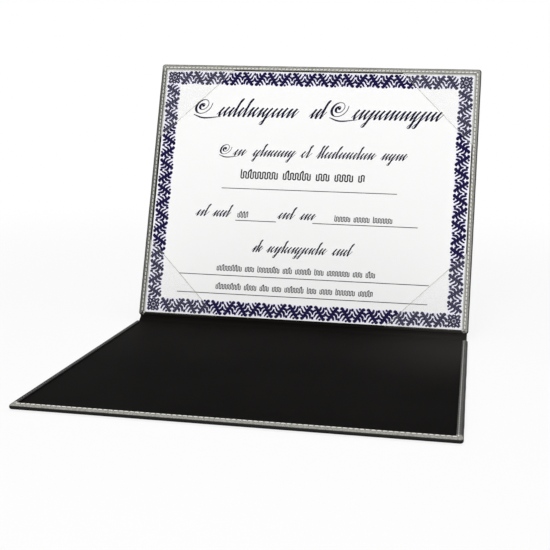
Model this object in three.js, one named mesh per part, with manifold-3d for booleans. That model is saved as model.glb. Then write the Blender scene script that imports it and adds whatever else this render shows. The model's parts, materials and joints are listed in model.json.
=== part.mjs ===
// An open diploma cover: two padded leatherette covers joined by a soft spine with a crease at each
// side. The lower cover lies flat, and the upper one leans back and shows a landscape certificate,
// held at its corners by four clear pockets. The leatherette is turned in over the three outer edges
// of each cover, and the black lining runs out to the hinge.
// Millimetres, +Z up, +X along the spine. The origin is the middle of the lower cover's underside.

import * as THREE from 'three';
import { mergeVertices } from 'three/addons/utils/BufferGeometryUtils.js';
import Module from 'manifold-3d';

// Certificate, and its play inside the window of the upper cover
const sheetWidth = 254;
const sheetHeight = 203.2;
const sheetThickness = 0.2;
const sheetSidePlay = 0.8;
const sheetHeadPlay = 0.8;
const sheetFootMargin = 3;

// Layers of a cover, from the outside to the inside
const leatherThickness = 0.7;
const paddingThickness = 0.6;
const boardThickness = 1.5;
const liningThickness = 0.2;
const filmThickness = 0.12;
const layerGap = 0.05;

// Outline and edge of a cover
const rimWidth = 4.2;
const cornerRadius = 2.3;
const innerCornerRadius = 0.4;
const edgeRadius = 1.2;
const lipRounding = 0.2;

// The seam presses a shallow channel into both faces of the leather
const seamInset = 3.0;
const seamHalfWidth = 0.5;
const seamDepth = 0.1;

// The padding leaves the sewn border flat and swells the face inside it
const paddingInset = 5.6;
const paddingSlope = 4.5;
const paddingCornerRadius = 4;

// What the turned-in edge covers. At the hinge the lining is bent down over the board's edge.
const liningInset = 1.6;
const liningHingeInset = 0.45;
const liningSideGap = 0.1;
const pocketInset = 2;

// Clear corner pocket: where its diagonal mouth meets the cover's edges, from the outer corner
const pocketReach = 67;
const pocketCornerRadius = 1;

// Spine and creases
const spineEndInset = 1;
const hingeTab = 0.5;
const creaseGap = 0.3;
const closedGap = 0.6;
const spineLiningThickness = 0.3;
const spineLiningMargin = 0.8;

// How the cover stands open
const leanBack = 18.8;

// Facets
const cornerSteps = 6;
const edgeSteps = 4;
const slopeSteps = 6;
const creaseSteps = 8;

// Heights of the layers above the outer face
const coverWidth = sheetWidth + 2 * (sheetSidePlay + rimWidth);
const coverHeight = sheetFootMargin + sheetHeight + sheetHeadPlay + rimWidth;
const borderRise = paddingThickness + layerGap;
const paddingBase = leatherThickness + layerGap;
const boardBase = paddingBase + paddingThickness + layerGap;
const liningBase = boardBase + boardThickness + layerGap;
const sheetBase = liningBase + liningThickness + layerGap;
const filmBase = sheetBase + sheetThickness + layerGap;
const lowerLip = liningBase + liningThickness + layerGap;
const upperLip = filmBase + filmThickness + layerGap;
const lowerThickness = lowerLip + leatherThickness;
const upperThickness = upperLip + leatherThickness;

// A crease runs through the middle of the border's leather, just beyond the hinge tab
const creaseHeight = borderRise + leatherThickness / 2;
const creaseOffset = hingeTab + creaseGap + leatherThickness / 2;
const spineWidth = lowerThickness + upperThickness - 2 * creaseHeight + closedGap;
const foldAtRest = THREE.MathUtils.degToRad((90 - leanBack) / 2);

const material = (name, color, roughness, extra = {}) =>
  new THREE.MeshStandardMaterial({ name, color, roughness, metalness: 0, ...extra });

const leatherette = material('leatherette', '#3b3834', 0.5);
const foam = material('foam', '#c9c4b6', 0.95);
const greyboard = material('greyboard', '#8d857a', 0.9);
const blackLining = material('black_lining', '#1b1a19', 0.6);
const paper = material('paper', '#f4f2ee', 0.8);
const clearFilm = material('clear_film', '#dfe3e6', 0.12, { transparent: true, opacity: 0.3 });

const wasm = await Module();
wasm.setup();

// A cover is drawn in its own frame: x along the hinge, y from the hinge end to the far edge and z
// from the outer face to the inner one. Its outline inset by a distance keeps parallel sides, and
// tighter corners, until the padding's own rounder corners begin.
function cornerAt(inset) {
  if (inset <= paddingInset) return Math.max(cornerRadius - inset, innerCornerRadius);
  const share = Math.min((inset - paddingInset) / paddingSlope, 1);
  return THREE.MathUtils.lerp(innerCornerRadius, paddingCornerRadius, share);
}

function outlineRing(inset, z) {
  const radius = cornerAt(inset);
  const x = coverWidth / 2 - inset - radius;
  const near = inset + radius;
  const far = coverHeight - inset - radius;
  const centres = [[x, far], [-x, far], [-x, near], [x, near]];
  const ring = [];
  centres.forEach(([cx, cy], corner) => {
    for (let step = 0; step <= cornerSteps; step += 1) {
      const angle = (corner + step / cornerSteps) * Math.PI / 2;
      ring.push([cx + radius * Math.cos(angle), cy + radius * Math.sin(angle), z]);
    }
  });
  return ring;
}

// Closed body through a list of [inset, z] rings, capped flat at the first ring and the last one.
// The list runs from the outer face round the edge to the inner face.
function loftRings(profile) {
  const rings = profile.map(([inset, z]) => outlineRing(inset, z));
  const count = rings[0].length;
  const middle = coverHeight / 2;
  const points = rings.flat();
  const first = points.push([0, middle, profile[0][1]]) - 1;
  const last = points.push([0, middle, profile.at(-1)[1]]) - 1;
  const lastRing = (rings.length - 1) * count;
  const faces = [];
  for (let j = 0; j < count; j += 1) {
    const next = (j + 1) % count;
    faces.push(first, next, j, last, lastRing + j, lastRing + next);
    for (let ring = 0; ring < lastRing; ring += count) {
      faces.push(ring + j, ring + next, ring + count + j);
      faces.push(ring + next, ring + count + next, ring + count + j);
    }
  }
  const geometry = new THREE.BufferGeometry();
  geometry.setAttribute('position', new THREE.Float32BufferAttribute(points.flat(), 3));
  geometry.setIndex(faces);
  return geometry;
}

// Quarter turn of an edge of the given radius, whose flat ends lie at the inset and height given:
// from the face below up to the wall, or from the wall up to the face above
function edgeArc(inset, z, radius, above) {
  const arc = [];
  for (let step = 0; step <= edgeSteps; step += 1) {
    const share = above ? 1 - step / edgeSteps : step / edgeSteps;
    const angle = share * Math.PI / 2;
    const rise = radius * (1 - Math.cos(angle));
    const run = radius * (1 - Math.sin(angle));
    arc.push([inset + run, above ? z - rise : z + rise]);
  }
  return arc;
}

// Face of the padding's slope, from its thick inner end out to the flat border
function paddingFace(inset, low, high) {
  const face = [];
  for (let step = 0; step <= slopeSteps; step += 1) {
    const share = step / slopeSteps;
    const z = THREE.MathUtils.lerp(low, high, THREE.MathUtils.smoothstep(share, 0, 1));
    face.push([inset + paddingSlope * (1 - share), z]);
  }
  return face;
}

const seamChannel = (z, depth) => [
  [seamInset + seamHalfWidth, z],
  [seamInset, z + depth],
  [seamInset - seamHalfWidth, z],
];

// Leatherette that covers the padded face, goes round the board's edge and is turned in as a rim
function wrapProfile(thickness) {
  const lip = thickness - leatherThickness;
  const borderBack = borderRise + leatherThickness;
  const innerRadius = edgeRadius - leatherThickness;
  return [
    ...paddingFace(paddingInset, 0, borderRise),
    ...seamChannel(borderRise, seamDepth),
    ...edgeArc(0, borderRise, edgeRadius, false),
    ...edgeArc(0, thickness, edgeRadius, true),
    ...seamChannel(thickness, -seamDepth).reverse(),
    [rimWidth - lipRounding, thickness],
    [rimWidth, thickness - lipRounding],
    [rimWidth, lip],
    ...edgeArc(leatherThickness, lip, innerRadius, true).reverse(),
    ...edgeArc(leatherThickness, borderBack, innerRadius, false).reverse(),
    ...paddingFace(paddingInset, leatherThickness, borderBack).reverse(),
  ];
}

const slabProfile = (inset, base, thickness) => [[inset, base], [inset, base + thickness]];

function boardProfile() {
  const inset = leatherThickness + layerGap;
  const radius = edgeRadius - inset;
  return [
    ...edgeArc(inset, boardBase, radius, false),
    ...edgeArc(inset, boardBase + boardThickness, radius, true),
  ];
}

const paddingProfile = () => [
  ...paddingFace(paddingInset + leatherThickness, paddingBase, paddingBase + paddingThickness).slice(0, -1),
  [paddingInset + paddingSlope / slopeSteps + leatherThickness, paddingBase + paddingThickness],
];

function toManifold(geometry) {
  const plain = geometry.clone();
  plain.deleteAttribute('normal');
  plain.deleteAttribute('uv');
  const merged = mergeVertices(plain);
  return new wasm.Manifold(new wasm.Mesh({
    numProp: 3,
    vertProperties: merged.attributes.position.array,
    triVerts: new Uint32Array(merged.index.array),
  }));
}

function fromManifold(solid) {
  const mesh = solid.getMesh();
  const geometry = new THREE.BufferGeometry();
  geometry.setAttribute('position', new THREE.BufferAttribute(mesh.vertProperties, 3));
  geometry.setIndex(new THREE.BufferAttribute(mesh.triVerts, 1));
  return geometry;
}

function boxBetween(halfWidth, [yLow, zLow], [yHigh, zHigh]) {
  const box = new THREE.BoxGeometry(2 * halfWidth, yHigh - yLow, zHigh - zLow);
  return box.translate(0, (yLow + yHigh) / 2, (zLow + zHigh) / 2);
}

// Between its side rims the wrap has no rim at the hinge end, and its outer layer runs on past that
// end as a narrow tab, towards the crease
function leatherWrap(thickness) {
  const floor = borderRise + leatherThickness;
  const windowEnd = rimWidth + innerCornerRadius;
  const hingeWindow = boxBetween(coverWidth / 2 - rimWidth, [-edgeRadius, floor], [windowEnd, 2 * thickness]);
  const tab = boxBetween(coverWidth / 2 - spineEndInset, [-hingeTab, borderRise], [cornerRadius, floor]);
  const wrap = toManifold(loftRings(wrapProfile(thickness)));
  return fromManifold(wrap.subtract(toManifold(hingeWindow)).add(toManifold(tab)));
}

// Lining: a sheet whose edges lie under the three rims, and which turns down at the hinge
function lining() {
  const sheet = toManifold(loftRings(slabProfile(liningInset, liningBase, liningThickness)));
  const halfWidth = coverWidth / 2 - rimWidth - liningSideGap;
  const top = liningBase + liningThickness;
  const bend = liningHingeInset + liningThickness;
  const floor = borderRise + leatherThickness + layerGap;
  const apron = boxBetween(halfWidth, [liningHingeInset, liningBase], [2 * liningInset, top]);
  const flange = boxBetween(halfWidth, [liningHingeInset, floor], [bend, top]);
  return fromManifold(sheet.add(toManifold(apron)).add(toManifold(flange)));
}

function piece(name, geometry, finish) {
  geometry.computeVertexNormals();
  const mesh = new THREE.Mesh(geometry, finish);
  mesh.name = name;
  return mesh;
}

// The layers that both covers have
function coverLayers(prefix, thickness) {
  const layers = new THREE.Group();
  layers.add(
    piece(`${prefix}_leather`, leatherWrap(thickness), leatherette),
    piece(`${prefix}_padding`, loftRings(paddingProfile()), foam),
    piece(`${prefix}_board`, loftRings(boardProfile()), greyboard),
    piece(`${prefix}_lining`, lining(), blackLining),
  );
  return layers;
}

function certificate() {
  const geometry = new THREE.BoxGeometry(sheetWidth, sheetHeight, sheetThickness);
  geometry.translate(0, sheetFootMargin + sheetHeight / 2, sheetBase + sheetThickness / 2);
  return piece('certificate', geometry, paper);
}

// Right-angled triangle of film, with its square corner tucked under the rim's corner
function cornerPocket(name, xSide, atTop) {
  const x = coverWidth / 2 - pocketInset;
  const leg = pocketReach - 2 * pocketInset;
  const y = atTop ? coverHeight - pocketInset : pocketInset;
  const ySide = atTop ? 1 : -1;
  const outline = new THREE.Shape();
  outline.moveTo(xSide * (x - leg), y);
  outline.lineTo(xSide * (x - pocketCornerRadius), y);
  outline.quadraticCurveTo(xSide * x, y, xSide * x, y - ySide * pocketCornerRadius);
  outline.lineTo(xSide * x, y - ySide * leg);
  outline.closePath();
  const geometry = new THREE.ExtrudeGeometry(outline, {
    depth: filmThickness,
    bevelEnabled: false,
    curveSegments: cornerSteps,
  });
  geometry.translate(0, 0, filmBase);
  return piece(name, geometry, clearFilm);
}

// A strip along the spine, extruded from a section drawn along the spine's width and thickness
function spineStrip(name, section, finish) {
  const length = coverWidth - 2 * spineEndInset;
  const geometry = new THREE.ExtrudeGeometry(section, {
    depth: length,
    bevelEnabled: false,
    curveSegments: creaseSteps,
  });
  geometry.translate(0, 0, -length / 2);
  geometry.applyMatrix4(new THREE.Matrix4().set(
    0, 0, 1, 0,
    1, 0, 0, 0,
    0, 1, 0, 0,
    0, 0, 0, 1,
  ));
  return piece(name, geometry, finish);
}

function spine() {
  const radius = leatherThickness / 2;
  const leather = new THREE.Shape();
  leather.moveTo(0, -radius);
  leather.lineTo(spineWidth, -radius);
  leather.absarc(spineWidth, 0, radius, -Math.PI / 2, Math.PI / 2, false);
  leather.lineTo(0, radius);
  leather.absarc(0, 0, radius, Math.PI / 2, 3 * Math.PI / 2, false);

  const base = radius + layerGap;
  const lining = new THREE.Shape();
  lining.moveTo(spineLiningMargin, base);
  lining.lineTo(spineWidth - spineLiningMargin, base);
  lining.lineTo(spineWidth - spineLiningMargin, base + spineLiningThickness);
  lining.lineTo(spineLiningMargin, base + spineLiningThickness);
  lining.closePath();

  const strips = new THREE.Group();
  strips.add(
    spineStrip('spine_leather', leather, leatherette),
    spineStrip('spine_lining', lining, leatherette),
  );
  return strips;
}

function upperCover() {
  const cover = coverLayers('upper', upperThickness);
  cover.add(
    certificate(),
    cornerPocket('corner_pocket_top_left', -1, true),
    cornerPocket('corner_pocket_top_right', 1, true),
    cornerPocket('corner_pocket_bottom_left', -1, false),
    cornerPocket('corner_pocket_bottom_right', 1, false),
  );
  return cover;
}

// The lower cover's hinge end is at +Y. The spine turns up from its crease by half the fold, and
// the upper cover by the other half from the spine's far crease.
const lower = coverLayers('lower', lowerThickness);
lower.rotation.z = Math.PI;
lower.position.y = coverHeight / 2;

const upper = upperCover();
upper.position.set(0, creaseOffset, -creaseHeight);

const upperFold = new THREE.Group();
upperFold.position.y = spineWidth;
upperFold.rotation.x = foldAtRest;
upperFold.add(upper);

const spineFold = new THREE.Group();
spineFold.position.set(0, coverHeight / 2 + creaseOffset, creaseHeight);
spineFold.rotation.x = foldAtRest;
spineFold.add(spine(), upperFold);

const diplomaCover = new THREE.Group();
diplomaCover.add(lower, spineFold);

export default diplomaCover;
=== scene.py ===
"""An open diploma cover in padded dark leatherette: sewn borders, black linings, a soft two-crease
spine and a printed certificate under clear corner pockets, on a pale floor."""

import json
import math

import bpy
import numpy as np
from mathutils import Matrix, Vector


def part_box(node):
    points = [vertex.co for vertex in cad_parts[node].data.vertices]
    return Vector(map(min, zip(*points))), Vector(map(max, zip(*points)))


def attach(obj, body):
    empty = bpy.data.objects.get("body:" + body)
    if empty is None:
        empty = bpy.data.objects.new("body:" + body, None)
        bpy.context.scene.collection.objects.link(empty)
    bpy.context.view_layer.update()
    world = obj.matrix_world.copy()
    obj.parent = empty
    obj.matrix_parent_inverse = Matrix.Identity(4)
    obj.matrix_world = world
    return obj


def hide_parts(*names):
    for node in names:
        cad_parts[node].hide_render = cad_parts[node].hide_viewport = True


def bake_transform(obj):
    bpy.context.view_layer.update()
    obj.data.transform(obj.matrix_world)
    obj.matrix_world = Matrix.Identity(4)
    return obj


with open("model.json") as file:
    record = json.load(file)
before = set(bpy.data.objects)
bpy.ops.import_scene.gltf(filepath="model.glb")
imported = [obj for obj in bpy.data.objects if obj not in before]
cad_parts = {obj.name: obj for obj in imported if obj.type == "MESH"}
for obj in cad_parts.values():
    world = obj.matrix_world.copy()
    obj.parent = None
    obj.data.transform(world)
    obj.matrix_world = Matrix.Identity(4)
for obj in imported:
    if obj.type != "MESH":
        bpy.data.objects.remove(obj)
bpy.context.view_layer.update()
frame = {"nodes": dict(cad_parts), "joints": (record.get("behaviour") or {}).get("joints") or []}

MM = 0.001
rng = np.random.default_rng(7)

# Sizes in millimetres, as the frame's own pieces have them
LEATHER = 0.7
LAYER_GAP = 0.05
BORDER_RISE = 0.65
RIM_WIDTH = 4.2
CORNER_RADIUS = 2.3
INNER_CORNER_RADIUS = 0.4
EDGE_RADIUS = 1.2
SHOULDER_RADIUS = 1.9
SEAM_INSET = 3.0
PADDING_INSET = 5.6
PADDING_SLOPE = 4.5
PADDING_CORNER = 4.0
POCKET_REACH = 67.0
POCKET_INSET = 2.0
HINGE_TAB = 0.5

# The leatherette's fine relief: the seam's channel, the ridge beside it, the edge and the hollows
CHANNEL_DEPTH = 0.06
CHANNEL_WIDTH = 0.55
RIDGE_HEIGHT = 0.05
RIDGE_INSET = 1.9
RIDGE_WIDTH = 0.5
EDGE_REACH = 1.4
EDGE_DRAWN_IN = 0.05
EDGE_LONG_WAVE = 0.06
EDGE_SHORT_WAVE = 0.03
EDGE_LIFT = 0.03
HOLLOW_DEPTH = 0.07

# Painted shade along a cover's shaded sides: how much of the painted rim highlight they lose, how far
# the shade reaches in and fades, and how far their far corner stays clear of it and fades
SHADE_LOSS = 0.4
SHADE_REACH = 12.0
SHADE_FADE = 4.0
CLEAR_CORNER = 3.6
CORNER_FADE = 3.0

# Sewing, with the slant of the stitches and its spread in degrees
STITCH_PITCH = 3.2
STITCH_LENGTH = 2.6
STITCH_WIDTH = 0.8
STITCH_HEIGHT = 0.42
STITCH_SLANT = 4.0
SLANT_SPREAD = 1.2
STITCH_RINGS = 9
STITCH_SIDES = 8
COLUMNS_PER_STITCH = 4
HOLE_DEPTH = 0.16

# Spine
SPINE_MARGIN = 1.0
SPINE_LINING = 0.3
LINING_MARGIN = 0.8
SPINE_OVERLAP = 1.15
SPINE_STEP = 0.35
SPINE_COLUMNS = 131
CREASE_ROUNDING = 3.0
CREASE_REACH = 1.6
LEATHER_WRINKLE = 0.02
LINING_WRINKLE = 0.03

# At rest each crease is folded by the angle to its lower limit, at which the covers lie flat
joints = {joint["name"]: joint for joint in frame["joints"]}
lower_crease = np.array(joints["lower_crease"]["pos_m"]) / MM
upper_crease = np.array(joints["upper_crease"]["pos_m"]) / MM
crease_fold = math.radians(-joints["lower_crease"]["range_deg"][0])

lower_low, lower_high = (np.array(corner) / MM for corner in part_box("lower_leather"))
COVER_WIDTH = float(lower_high[0] - lower_low[0])
COVER_HEIGHT = float(-2 * lower_low[1])


def turn_about_x(angle):
    """Matrix of a turn about X, by an angle in radians."""
    c, s = math.cos(angle), math.sin(angle)
    return np.array([[1, 0, 0], [0, c, -s], [0, s, c]])


class Cover:
    """One cover and its own frame in millimetres: x along the hinge, y from the hinge end to the far
    edge and z from the outer face to the inner one. The strength of its painted rim highlight is
    up to 1. Its shaded sides give how much shade is painted along the side at high x, 1, or the one
    at low x, -1."""

    def __init__(self, name, body, turn, origin, shaded_sides, rim_highlight):
        self.name = name
        self.body = body
        self.turn = turn
        self.origin = np.array(origin)
        self.shaded_sides = shaded_sides
        self.rim_highlight = rim_highlight
        self.thickness = float(self.node_span("leather")[1][2])

    def place(self, points):
        """Points of its own frame in millimetres, as points of the scene in metres."""
        return (np.asarray(points) @ self.turn.T + self.origin) * MM

    def node_span(self, layer):
        """Lowest and highest corner of one of the cover's nodes, in its own frame."""
        node = frame["nodes"].get(f"{self.name}_{layer}") or frame["nodes"][layer]
        flat = np.zeros(len(node.data.vertices) * 3)
        node.data.vertices.foreach_get("co", flat)
        own = (flat.reshape(-1, 3) / MM - self.origin) @ self.turn
        return own.min(axis=0), own.max(axis=0)


CREASE_OFFSET = lower_crease[1] - COVER_HEIGHT / 2
CREASE_HEIGHT = lower_crease[2]
upper_turn = turn_about_x(2 * crease_fold)
# Each cover's strength of painted rim highlight, and its sides that carry painted shade
lower_cover = Cover(
    "lower",
    "lower_cover",
    np.diag([-1.0, -1.0, 1.0]),
    (0, COVER_HEIGHT / 2, 0),
    shaded_sides={1: 1.0, -1: 0.72},
    rim_highlight=1.0,
)
upper_cover = Cover(
    "upper",
    "upper_cover",
    upper_turn,
    upper_crease * (0, 1, 1) + upper_turn @ (0, CREASE_OFFSET, -CREASE_HEIGHT),
    shaded_sides={-1: 0.2},
    rim_highlight=0.82,
)


# Meshes

def mesh_piece(name, points, faces, finish, body, smooth=True):
    """A mesh object at the origin, made of points in metres and faces that point outwards."""
    mesh = bpy.data.meshes.new(name)
    mesh.from_pydata(np.asarray(points).tolist(), [], faces)
    mesh.polygons.foreach_set("use_smooth", [smooth] * len(mesh.polygons))
    mesh.materials.append(finish)
    piece = bpy.data.objects.new(name, mesh)
    bpy.context.scene.collection.objects.link(piece)
    if body:
        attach(piece, body)
    return piece


def ring_quads(index):
    """Quads between neighbouring closed rings, one row of point numbers for each ring."""
    ahead = np.roll(index, -1, axis=1)
    return np.stack([index[:-1], ahead[:-1], ahead[1:], index[1:]], axis=-1)


def ring_faces(rings, count, start=0):
    """Quads between neighbouring closed rings of count points, with an n-gon at each end."""
    index = np.arange(rings * count).reshape(rings, count) + start
    quads = ring_quads(index).reshape(-1, 4)
    return quads.tolist() + [index[0][::-1].tolist(), index[-1].tolist()]


def without_spare_points(points, faces):
    """Only the points that the faces use, the faces on them, and the old number of each point."""
    used = np.unique(np.concatenate(faces))
    number = np.zeros(len(points), int)
    number[used] = np.arange(len(used))
    return points[used], [number[face].tolist() for face in faces], used


# Leatherette of a cover

STITCHES_ACROSS = round((COVER_WIDTH - 2 * SEAM_INSET) / STITCH_PITCH)
STITCHES_ALONG = round((COVER_HEIGHT - 2 * SEAM_INSET) / STITCH_PITCH)
SIDE_STITCHES = (STITCHES_ACROSS, STITCHES_ALONG, STITCHES_ACROSS, STITCHES_ALONG)
CORNER_COLUMNS = 8


def corner_radius(inset):
    """The outline's corner radius at an inset: parallel corners, then the padding's rounder ones."""
    share = np.clip((inset - PADDING_INSET) / PADDING_SLOPE, 0, 1)
    parallel = np.maximum(CORNER_RADIUS - inset, INNER_CORNER_RADIUS)
    return parallel + (PADDING_CORNER - INNER_CORNER_RADIUS) * share


def outline(inset):
    """Points of the cover's outline at an inset, anticlockwise, the outward direction at each, and
    the phase of each within its stitch. A corner is a quarter circle with no needle hole, so its
    phase is 0.5, and a side has a whole number of stitches with the same columns in each."""
    radius = corner_radius(inset)
    x = COVER_WIDTH / 2 - inset - radius
    near = inset + radius
    far = COVER_HEIGHT - inset - radius
    centres = [(x, far), (-x, far), (-x, near), (x, near)]
    points, outward, phase = [], [], []
    for corner, centre in enumerate(centres):
        angle = (corner + np.linspace(0, 1, CORNER_COLUMNS + 1)) * math.pi / 2
        direction = np.stack([np.cos(angle), np.sin(angle)], axis=1)
        arc = np.array(centre) + radius * direction
        points.append(arc)
        outward.append(direction)
        phase.append(np.full(len(arc), 0.5))
        following = np.array(centres[(corner + 1) % 4]) + radius * direction[-1]
        steps = SIDE_STITCHES[corner] * COLUMNS_PER_STITCH
        share = np.arange(1, steps)[:, None] / steps
        points.append(arc[-1] + (following - arc[-1]) * share)
        outward.append(np.repeat(direction[-1:], steps - 1, axis=0))
        phase.append(np.arange(1, steps) / COLUMNS_PER_STITCH % 1)
    return np.concatenate(points), np.concatenate(outward), np.concatenate(phase)


def arc_profile(radius, z, start, end, steps=8):
    """Quarter circle from one angle to another, about the point at that height whose inset is the
    radius."""
    angle = np.radians(np.linspace(start, end, steps + 1))
    return np.stack([radius - radius * np.cos(angle), z + radius * np.sin(angle)], axis=1)


# Insets of the rings on the padded face and on the border, the number of rings on the slope between
# them, and how much of the rim's width its rounded end takes
PAD_RINGS = (100, 84, 68, 54, 42, 32, 25, 19, 15, 12)
BORDER_RINGS = (5.0, 4.4, 3.9, 3.5, 3.2, 3.0, 2.8, 2.5, 2.1, 1.6)
SLOPE_RINGS = 13
ROUNDED_END = 0.3


def wrap_profile(thickness):
    """Inset and height of the leatherette's section, from the middle of the padded face round to its
    turned-in end and back along its inside, and the rows where the outer edge begins and ends and
    where the inside comes back to the border. The slope rises by 3 * share**2 - 2 * share**3."""
    pad = np.stack([PAD_RINGS, np.zeros(len(PAD_RINGS))], axis=1)
    share = np.linspace(0, 1, SLOPE_RINGS)
    rise = share * share * (3 - 2 * share)
    slope = np.stack([PADDING_INSET + PADDING_SLOPE * (1 - share), BORDER_RISE * rise], axis=1)
    border = np.stack([BORDER_RINGS, np.full(len(BORDER_RINGS), BORDER_RISE)], axis=1)
    lip = np.stack([BORDER_RINGS[::-1], np.full(len(BORDER_RINGS), thickness)], axis=1)
    lip = lip[(lip[:, 0] > SHOULDER_RADIUS) & (lip[:, 0] < RIM_WIDTH - ROUNDED_END)]
    fold = np.array([
        [RIM_WIDTH - 0.22, thickness - 0.02],
        [RIM_WIDTH - 0.06, thickness - 0.1],
        [RIM_WIDTH, thickness - 0.26],
        [RIM_WIDTH, thickness - LEATHER],
        [LEATHER, thickness - LEATHER],
        [LEATHER, BORDER_RISE + LEATHER],
        [PADDING_INSET, BORDER_RISE + LEATHER],
        [PADDING_INSET + PADDING_SLOPE, LEATHER],
    ])
    lower_arc = arc_profile(EDGE_RADIUS, BORDER_RISE + EDGE_RADIUS, -90, 0)
    upper_arc = arc_profile(SHOULDER_RADIUS, thickness - SHOULDER_RADIUS, 0, 90)
    profile = np.concatenate([pad, slope, border, lower_arc, upper_arc, lip, fold])
    edge_starts = len(pad) + len(slope) + len(border)
    return profile, edge_starts, edge_starts + len(lower_arc) - 1, len(profile) - 3


def slow_wave(x, y, length, seed):
    """A soft, repeatable unevenness between -1 and 1: the mean of three turned sine waves, the
    longest of which repeats after 2 * pi times the length."""
    turns = np.random.default_rng(seed).uniform(0, 2 * math.pi, 6)
    total = np.zeros(np.shape(x))
    for step in range(3):
        heading = turns[step]
        across = (np.cos(heading) * x + np.sin(heading) * y) / length * (1 + 0.7 * step)
        total = total + np.sin(across + turns[step + 3])
    return total / 3


# Columns of the hinge side's first and last point, past three corners and two sides. A side has one
# point fewer than it has steps.
FIRST_HINGE_COLUMN = (
    3 * (CORNER_COLUMNS + 1) + (STITCHES_ACROSS + STITCHES_ALONG) * COLUMNS_PER_STITCH - 2
)
LAST_HINGE_COLUMN = FIRST_HINGE_COLUMN + STITCHES_ACROSS * COLUMNS_PER_STITCH - 2


def hinge_faces(index, leaves, returns):
    """Faces of the wrap without its rim along the hinge, closed by the tab's end, the two cut rim
    ends and a cap at each end of the profile."""
    before, after = FIRST_HINGE_COLUMN - 1, LAST_HINGE_COLUMN + 1
    quads = ring_quads(index)
    keep = np.ones(quads.shape[:2], bool)
    keep[leaves:returns, before:after] = False
    near, far = index[leaves, before : after + 1], index[returns, before : after + 1]
    tab_end = np.stack([near[:-1], near[1:], far[1:], far[:-1]], axis=1)
    cut = index[leaves : returns + 1]
    closed = [cut[::-1, before], cut[:, after], index[0][::-1], index[-1]]
    return quads[keep].tolist() + tab_end.tolist() + [face.tolist() for face in closed]


def painted_side_shade(cover, x, y):
    """How much shade is painted on the rim, by taking away its painted highlight, and on the thread,
    up
    to 1: full along a shaded side's border, 0 further in and 0 at the far corners."""
    clear_of_corner = np.clip((COVER_HEIGHT - y - CLEAR_CORNER) / CORNER_FADE, 0, 1)
    total = np.zeros(np.shape(x))
    for side, amount in cover.shaded_sides.items():
        from_side = COVER_WIDTH / 2 - side * x
        total = total + amount * np.clip((SHADE_REACH - from_side) / SHADE_FADE, 0, 1)
    return total * clear_of_corner


def leather_wrap(cover, finish):
    """The cover's leatherette. Each ring is the outline at the profile's inset; a seam presses it in
    by a bell-shaped channel that is deepest at each needle hole, the edge is a little uneven and the
    padded face has shallow hollows. At the hinge the rim is left out and the outer layer runs on.
    The point attribute is painted light: it rises from 0 on the outer border to the cover's rim
    highlight strength on the rim, and to less along a side with painted shade."""
    profile, edge_starts, leaves, returns = wrap_profile(cover.thickness)
    middle = cover.thickness / 2
    rings, painted_rim_light = [], []
    for inset, z in profile:
        points, outward, phase = outline(inset)
        x, y = points.T
        near_seam = math.exp(-(((inset - SEAM_INSET) / CHANNEL_WIDTH) ** 2))
        hole = (0.5 + 0.5 * np.cos(2 * math.pi * phase)) ** 2
        on_face = 1.0 if abs(z - BORDER_RISE) < 0.01 or abs(z - cover.thickness) < 0.03 else 0.0
        press = on_face * near_seam * (CHANNEL_DEPTH + HOLE_DEPTH * hole)
        swell = on_face * RIDGE_HEIGHT * math.exp(-(((inset - RIDGE_INSET) / RIDGE_WIDTH) ** 2))
        side = 1.0 if z > middle else -1.0
        height = z + side * (swell - press)
        edge = math.exp(-((inset / EDGE_REACH) ** 2))
        long_wave = EDGE_LONG_WAVE * slow_wave(x, y, length=9.0, seed=3)
        short_wave = EDGE_SHORT_WAVE * slow_wave(x, y, length=2.7, seed=4)
        shift = edge * (long_wave + short_wave - EDGE_DRAWN_IN)
        height = height + side * edge * EDGE_LIFT * slow_wave(x, y, length=6.0, seed=5)
        if z == 0:
            hollow = 1 + slow_wave(x, y, length=16.0, seed=6)
            height = height + HOLLOW_DEPTH * hollow * min(inset / 10 - 0.9, 1)
        rings.append(np.column_stack([points + outward * shift[:, None], height]))
        raised = np.clip((z - BORDER_RISE) / (cover.thickness - BORDER_RISE), 0, 1)
        # Painted light on the rim: a highlight up the wall, weaker along a side with painted shade
        painted_rim_light.append((cover.rim_highlight - SHADE_LOSS * painted_side_shade(cover, x, y)) * raised)
    rings = np.array(rings)
    hinge = slice(FIRST_HINGE_COLUMN, LAST_HINGE_COLUMN + 1)
    edge_rows = slice(edge_starts, leaves + 1)
    reach = np.linspace(EDGE_RADIUS, -HINGE_TAB, leaves + 1 - edge_starts)
    rings[edge_rows, hinge, 1] = reach[:, None]
    rings[edge_rows, hinge, 2] = BORDER_RISE
    rings[returns, hinge, 1] = -HINGE_TAB
    index = np.arange(rings.shape[0] * rings.shape[1]).reshape(rings.shape[:2])
    points, faces, used = without_spare_points(
        cover.place(rings.reshape(-1, 3)), hinge_faces(index, leaves, returns)
    )
    piece = mesh_piece(f"{cover.name}_leather_wrap", points, faces, finish, cover.body)
    # Kept on the mesh for the finish's painted rim highlight and painted edge shade
    rim_light_attribute = piece.data.attributes.new("painted_rim_light", "FLOAT", "POINT")
    rim_light_attribute.data.foreach_set("value", np.concatenate(painted_rim_light)[used])
    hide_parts(f"{cover.name}_leather")


# Seams

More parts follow.
